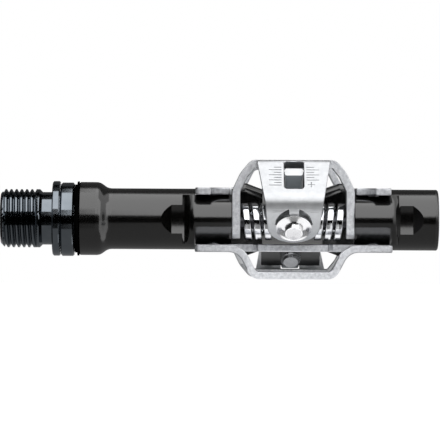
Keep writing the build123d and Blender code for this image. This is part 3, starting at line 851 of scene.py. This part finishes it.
# ---- Springs -----------------------------------------------------------------------
@dataclass
class TorsionSpring:
    """A torsion spring of flat wire: its coil with the leg on the body, and its leg on the nut.

    Attributes:
        side: Side of the pedal.
        end: -1 for the inboard spring and 1 for its outboard mirror image.
        middle: X of the middle of the claw.
        start: From the middle to the first turn.
        pivot: Y and Z of the coil's axis.
        radius: Radius of the middle of the wire.
        wire: Width of the wire along the axis and its height.
        corner: Rounding of the wire.
        pitch: Pitch of the coil.
        turns: Turns of the coil.
        fixed: Length of the leg on the body.
        active: Length of the leg on the nut.
        rise: Slope of the leg on the nut in degrees.
        steps: Steps of a turn.
        leg_steps: Steps of a leg.
        corner_steps: Steps of a rounded corner of the wire.
        crease: Least angle of an edge that stays sharp, in degrees.
    """

    side: Side
    end: int
    middle: float = 58.5 * MM
    start: float = 11.68 * MM
    pivot: tuple[float, float] = (-13.0 * MM, -0.5 * MM)
    radius: float = 3.55 * MM
    wire: tuple[float, float] = (1.7 * MM, 1.8 * MM)
    corner: float = 0.3 * MM
    pitch: float = 2.35 * MM
    turns: float = 2.875
    fixed: float = 5.55 * MM
    active: float = 9.0 * MM
    rise: float = 45.0
    steps: int = 40
    leg_steps: int = 8
    corner_steps: int = 4
    crease: float = 40.0

    def section(self, shape: bmesh.types.BMesh) -> tuple[list, list]:
        """Adds the wire's rounded outline above the axis at X 0.

        Args:
            shape: Shape that the outline joins.

        Returns:
            Its vertices and its edges.
        """
        half_width, half_height = self.wire[0] / 2, self.wire[1] / 2
        corners = [(-half_width, -half_height), (half_width, -half_height),
                   (half_width, half_height), (-half_width, half_height)]
        verts = [shape.verts.new((x, 0, self.radius + z)) for x, z in corners]
        face = shape.faces.new(verts)
        bmesh.ops.bevel(shape, geom=face.verts[:], offset=self.corner,
                        segments=self.corner_steps, profile=0.5, affect="VERTICES", material=-1)
        bmesh.ops.delete(shape, geom=shape.faces[:], context="FACES_ONLY")
        return shape.verts[:], shape.edges[:]

    def leg(self, shape: bmesh.types.BMesh, rim: list, along: Vector) -> None:
        """Draws a straight leg out of the wire's end.

        Args:
            shape: The spring.
            rim: Edges of the wire's end.
            along: The leg.
        """
        for _ in range(self.leg_steps):
            grown = bmesh.ops.extrude_edge_only(shape, edges=rim)["geom"]
            verts = [item for item in grown if isinstance(item, bmesh.types.BMVert)]
            rim = [item for item in grown if isinstance(item, bmesh.types.BMEdge)
                   and all(vert in verts for vert in item.verts)]
            bmesh.ops.translate(shape, vec=along / self.leg_steps, verts=verts)

    def place(self, shape: bmesh.types.BMesh) -> None:
        """Moves the inboard upper shape to this spring's place.

        Args:
            shape: The shape.
        """
        cap_ends(shape)
        to_pivot = Matrix.Translation((self.middle - self.start, *self.pivot))
        bmesh.ops.transform(shape, matrix=to_pivot, verts=shape.verts)
        if self.end > 0:
            about = Matrix.Translation((2 * self.middle, 0, 0)) @ Matrix.Scale(-1, 4, (1, 0, 0))
            bmesh.ops.transform(shape, matrix=about, verts=shape.verts)
            bmesh.ops.recalc_face_normals(shape, faces=shape.faces)
        bmesh.ops.transform(shape, matrix=self.side.turn(), verts=shape.verts)

    @property
    def angle(self) -> float:
        """Angle of the whole coil in radians."""
        return math.tau * self.turns

    @property
    def count(self) -> int:
        """Steps of the whole coil."""
        return round(self.turns * self.steps)

    @property
    def advance(self) -> Vector:
        """Shift of one step along the coil's axis."""
        return Vector((self.turns * self.pitch / self.count, 0, 0))

    def coil(self) -> bmesh.types.BMesh:
        """The coil with the leg on the body."""
        shape = bmesh.new()
        verts, rim = self.section(shape)
        bmesh.ops.spin(shape, geom=verts + rim, cent=(0, 0, 0), axis=(1, 0, 0), dvec=self.advance,
                       angle=self.angle, steps=self.count)
        self.leg(shape, rim, Vector((0, self.fixed, 0)))
        self.place(shape)
        return shape

    def tip(self) -> bmesh.types.BMesh:
        """The leg on the nut."""
        shape = bmesh.new()
        verts, rim = self.section(shape)
        bmesh.ops.rotate(shape, cent=(0, 0, 0), matrix=Matrix.Rotation(self.angle, 3, "X"), verts=verts)
        bmesh.ops.translate(shape, vec=self.advance * self.count, verts=verts)
        outward = Vector((0, -math.cos(self.angle), -math.sin(self.angle)))
        self.leg(shape, rim, outward * self.active)
        self.place(shape)
        return shape

    def build(self) -> None:
        """Builds both halves: the coil with the leg on the body, and the leg on the nut."""
        name = self.side.node("spring_inboard" if self.end < 0 else "spring_outboard")
        turn = self.side.turn()
        claw = self.side.node("claw")
        start = self.middle + self.end * self.start
        stop = start - self.end * self.turns * self.pitch
        thin = self.wire[0] / 2
        slope = math.cos(math.radians(self.rise))
        pivot_y, pivot_z = self.pivot
        first_turn = (start - self.end * thin, 0, 0)
        last_turn = (stop + self.end * thin, 0, 0)
        leg_root = (stop, pivot_y + self.radius * slope, pivot_z + self.radius * slope)
        leg_tip = (stop, pivot_y - self.active * slope, pivot_z + (self.radius + self.active) * slope)
        halves = [
            ("_coil", self.coil(), "pedal_body", claw, first_turn, last_turn),
            ("_leg", self.tip(), claw, self.side.node("tension_nut"), leg_root, leg_tip),
        ]
        for ending, shape, first, second, begin, last in halves:
            piece = as_piece(name + ending, shape)
            smooth(piece, self.crease)
            finish_piece(piece, SPRING_STEEL, (name,))
            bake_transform(piece)


# ---- Studio ------------------------------------------------------------------------
def spot(angle: float, radius: float) -> Vector:
    """The point at an elevation in degrees and a distance, in front of the spindle axis."""
    rise = math.radians(angle)
    return Vector((0, -radius * math.cos(rise), radius * math.sin(rise)))


def lengthwise(near: Vector, far: Vector, left: float, right: float) -> list[Vector]:
    """Corners of a rectangle along the spindle.

    Args:
        near: Middle of one long edge.
        far: Middle of the other long edge.
        left: X of its left end.
        right: X of its right end.

    Returns:
        The corners in order.
    """
    return [Vector((x, *edge.yz)) for x, edge in ((left, near), (right, near), (right, far), (left, far))]


def crosswise(centre: Vector, half: float) -> list[Vector]:
    """Corners of an upright square across the spindle.

    Args:
        centre: Its middle.
        half: Half its side.

    Returns:
        The corners in order.
    """
    return [centre + Vector((0, y, z)) * half for z, y in ((1, -1), (-1, -1), (-1, 1), (1, 1))]


@dataclass(frozen=True)
class Panel:
    """A flat panel that only reflections see.

    Attributes:
        name: Name of the panel.
        level: How bright it is.
        corners: Its corners in order.
    """

    name: str
    level: float
    corners: list[Vector]


DARK = 0.0
LOW_CARD = 1.2  # brightness of the cards below the tension bolt
SIDE_CARD = 1.15  # and of the two beside it
CARD_HALF = 17 * MM
CARD_REACH = 0.04
FLAG_REACH = 0.22
CARD_ENDS = (0.044, 0.073)  # X of the ends of the cards, about as wide as the claw
FLAG_ENDS = (-0.12, -0.004)  # X of the ends of the flags beside the crank-side end
PANELS = (
    Panel("flag_low", DARK, lengthwise(spot(-16, 0.42), spot(13, 0.42), -0.2, 0.3)),
    Panel("flag_tall", DARK, lengthwise(spot(-31, FLAG_REACH), spot(29, FLAG_REACH), *FLAG_ENDS)),
    Panel("flag_floor", 0.27, lengthwise(Vector((0, -0.7, -0.11)), Vector((0, 0.6, -0.11)), -0.6, 0.7)),
    Panel("card_low", LOW_CARD, lengthwise(spot(-30, CARD_REACH), spot(-75, CARD_REACH), *CARD_ENDS)),
    Panel("card_under", LOW_CARD, lengthwise(spot(-75, CARD_REACH), spot(-120, CARD_REACH), *CARD_ENDS)),
    Panel("card_left", SIDE_CARD, crosswise(Vector((0.0475, -0.037, -0.021)), CARD_HALF)),
    Panel("card_right", SIDE_CARD, crosswise(Vector((0.0695, -0.037, -0.021)), CARD_HALF)),
    Panel("flag_left", 0.02, crosswise(Vector((-0.16, 0, 0)), 0.25)),
    Panel("flag_top", DARK, lengthwise(spot(91, FLAG_REACH), spot(125, FLAG_REACH), *FLAG_ENDS)),
    Panel("flag_back", 0.1, lengthwise(spot(112, 0.5), spot(178, 0.5), -0.5, 0.6)),
)


@dataclass
class Studio:
    """The pale room, its lights and its camera.

    Attributes:
        middle: X of the middle of the view.
        distance: Camera to the spindle axis.
        lens: Focal length in millimetres.
        sensor: Width of the sensor in millimetres.
        clip: Nearest distance that the camera sees.
        elevation: Camera's height in degrees.
        roll: Camera's roll in degrees.
        drop: Height of the view's middle.
        floor: Height of the floor.
        floor_half: Half the side of the floor.
        room: How bright the room is as light.
        floor_grey: Colour of the floor.
        floor_rough: Roughness of the floor.
        floor_shine: Strength of its highlights.
        glow: How bright the floor looks near the pedal and far away.
        glow_reach: Distances between which its glow grows.
        light_reach: From the pedal to its lights.
        light_level: How bright the surface of a light is.
    """

    middle: float = 0.0409
    distance: float = 0.8
    lens: float = 267.0
    sensor: float = 36.0
    clip: float = 10 * MM
    elevation: float = 0.35
    roll: float = 0.29
    drop: float = -0.0002
    floor: float = -0.12
    floor_half: float = 4.0
    room: float = 0.8
    floor_grey: float = 0.6
    floor_rough: float = 0.9
    floor_shine: float = 0.1
    glow: tuple[float, float] = (0.5, 1.0)
    glow_reach: tuple[float, float] = (0.2, 0.6)
    light_reach: float = 0.7
    light_level: float = 1.15

    def build(self) -> None:
        """Builds the whole studio; dark flags and bright cards give the metal its bands and highlights."""
        self.world()
        self.camera()
        self.ground()
        self.lights()
        for plan in PANELS:
            self.hang(plan)
        bpy.context.scene.view_settings.view_transform = "Standard"

    def world(self) -> None:
        """White to the eye and in reflections, softer as light."""
        world = bpy.data.worlds.new("room")
        bpy.context.scene.world = world
        world.use_nodes = True
        nodes, links = world.node_tree.nodes, world.node_tree.links
        background = nodes["Background"]
        background.inputs["Color"].default_value = (1, 1, 1, 1)
        path = nodes.new("ShaderNodeLightPath")
        seen = path.outputs["Is Camera Ray"]
        for name in ("Is Glossy Ray", "Is Transmission Ray"):
            either = nodes.new("ShaderNodeMath")
            either.operation = "MAXIMUM"
            links.new(seen, either.inputs[0])
            links.new(path.outputs[name], either.inputs[1])
            seen = either.outputs[0]
        level = nodes.new("ShaderNodeMapRange")
        level.inputs["To Min"].default_value = self.room
        level.inputs["To Max"].default_value = 1.0
        links.new(seen, level.inputs["Value"])
        links.new(level.outputs[0], background.inputs["Strength"])

    def camera(self) -> None:
        """The camera, level with the spindle and square to it."""
        camera = bpy.data.cameras.new("camera")
        camera.lens = self.lens
        camera.sensor_width = self.sensor
        camera.clip_start = self.clip
        holder = bpy.data.objects.new("camera", camera)
        bpy.context.scene.collection.objects.link(holder)
        rise = math.radians(self.elevation)
        back = self.distance * math.cos(rise)
        height = self.drop + self.distance * math.sin(rise)
        place = Vector((self.middle, -back, height))
        turn = Matrix.Rotation(math.pi / 2 - rise, 4, "X") @ Matrix.Rotation(math.radians(self.roll), 4, "Z")
        holder.matrix_world = Matrix.Translation(place) @ turn
        bpy.context.scene.camera = holder

    def ground(self) -> None:
        """A pale floor that fades to white away from the pedal."""
        mesh = bpy.data.meshes.new("floor")
        sheet = bmesh.new()
        bmesh.ops.create_grid(sheet, x_segments=1, y_segments=1, size=self.floor_half)
        bmesh.ops.translate(sheet, vec=(self.middle, 0, self.floor), verts=sheet.verts)
        sheet.to_mesh(mesh)
        sheet.free()
        floor = bpy.data.objects.new("floor", mesh)
        bpy.context.scene.collection.objects.link(floor)
        tree = ShaderTree("floor")
        tree.shader.inputs["Base Color"].default_value = (*[self.floor_grey] * 3, 1)
        tree.shader.inputs["Roughness"].default_value = self.floor_rough
        tree.shader.inputs["Specular IOR Level"].default_value = self.floor_shine
        tree.shader.inputs["Emission Color"].default_value = (1, 1, 1, 1)
        place = tree.add("VectorMath", Vector=tree.coordinates.outputs["Object"])
        place.operation = "LENGTH"
        away = tree.spread(place.outputs["Value"], *self.glow, *self.glow_reach)
        path = tree.nodes.new("ShaderNodeLightPath")
        glow = tree.add("Math")
        glow.operation = "MULTIPLY"
        tree.links.new(away, glow.inputs[0])
        tree.links.new(path.outputs["Is Camera Ray"], glow.inputs[1])
        tree.join(glow.outputs[0], "Emission Strength")
        mesh.materials.append(tree.material)
        floor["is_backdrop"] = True

    def lights(self) -> None:
        """One long soft light from in front to over the top of the pedal, and a wide one beside it."""
        self.light("softbox", rise=(12, 108), across=(-0.15, 0.15))
        self.light("sidelight", rise=(12, 70), across=(0.2, 0.7))

    def light(self, name: str, rise: tuple[float, float], across: tuple[float, float]) -> None:
        """A soft light that spans a range of elevations, seen from the pedal.

        Args:
            name: Name of the light.
            rise: Elevations of its front and back edges in degrees.
            across: Places of its left and right edges beside the middle.
        """
        ends = [spot(angle, self.light_reach) for angle in rise]
        chord = ends[1] - ends[0]
        light = bpy.data.lights.new(name, "AREA")
        light.shape = "RECTANGLE"
        light.size = across[1] - across[0]
        light.size_y = chord.length
        light.energy = self.light_level * math.pi * light.size * light.size_y
        holder = bpy.data.objects.new(name, light)
        bpy.context.scene.collection.objects.link(holder)
        up = chord.normalized()
        right = Vector((1, 0, 0))
        turn = Matrix((right, up, right.cross(up))).transposed().to_4x4()
        centre = (ends[0] + ends[1]) / 2 + Vector((self.middle + sum(across) / 2, 0, 0))
        holder.matrix_world = Matrix.Translation(centre) @ turn
        holder.visible_camera = False

    def hang(self, plan: Panel) -> None:
        """Hangs a panel that only reflections see.

        Args:
            plan: The panel.
        """
        sheet = bmesh.new()
        sheet.faces.new([sheet.verts.new(corner) for corner in plan.corners])
        mesh = bpy.data.meshes.new(plan.name)
        sheet.to_mesh(mesh)
        sheet.free()
        panel = bpy.data.objects.new(plan.name, mesh)
        bpy.context.scene.collection.objects.link(panel)
        tree = ShaderTree(plan.name)
        tree.shader.inputs["Base Color"].default_value = (0, 0, 0, 1)
        tree.shader.inputs["Roughness"].default_value = 1.0
        tree.shader.inputs["Specular IOR Level"].default_value = 0.0
        tree.shader.inputs["Emission Color"].default_value = (1, 1, 1, 1)
        tree.shader.inputs["Emission Strength"].default_value = plan.level
        mesh.materials.append(tree.material)
        for kind in ("camera", "diffuse", "transmission", "shadow", "volume_scatter"):
            setattr(panel, "visible_" + kind, False)
        panel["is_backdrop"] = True


# ---- The pedal ---------------------------------------------------------------------
def dress(node: bpy.types.Object, finish: Finish) -> None:
    """Gives a CAD node a finish.

    Args:
        node: The node's object.
        finish: The finish.
    """
    material = finish.material()
    if node.material_slots:
        for place in node.material_slots:
            place.material = material
    else:
        node.data.materials.append(material)
    LOG.info("%s dressed in %s", node.name, finish.name)


def corners() -> list[list[float]]:
    """The shown object's box as plain lists."""
    return [list(corner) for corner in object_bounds()]


def main() -> None:
    """Builds the whole scene round the frame."""
    logging.basicConfig(level=logging.INFO)
    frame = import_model()
    Studio().build()
    for part in frame["record"]["subparts"]:
        # the pivot pins get a dark painted shade instead of their steel slot's finish
        finish = PIN_PAINTED_SHADE if part["node"].endswith("pivot_pin") else SLOT_FINISHES[part["material_slot"]]
        dress(frame["nodes"][part["node"]], finish)
    Spindle().build()
    for side in Side:
        tension = Tension()
        Claw(side, tension).build()
        TensionBolt(side, tension).build()
        Indicator(side, tension).build()
        Cage(side).build()
        for end in (-1, 1):
            TorsionSpring(side, end).build()


if __name__ == "__main__":
    main()
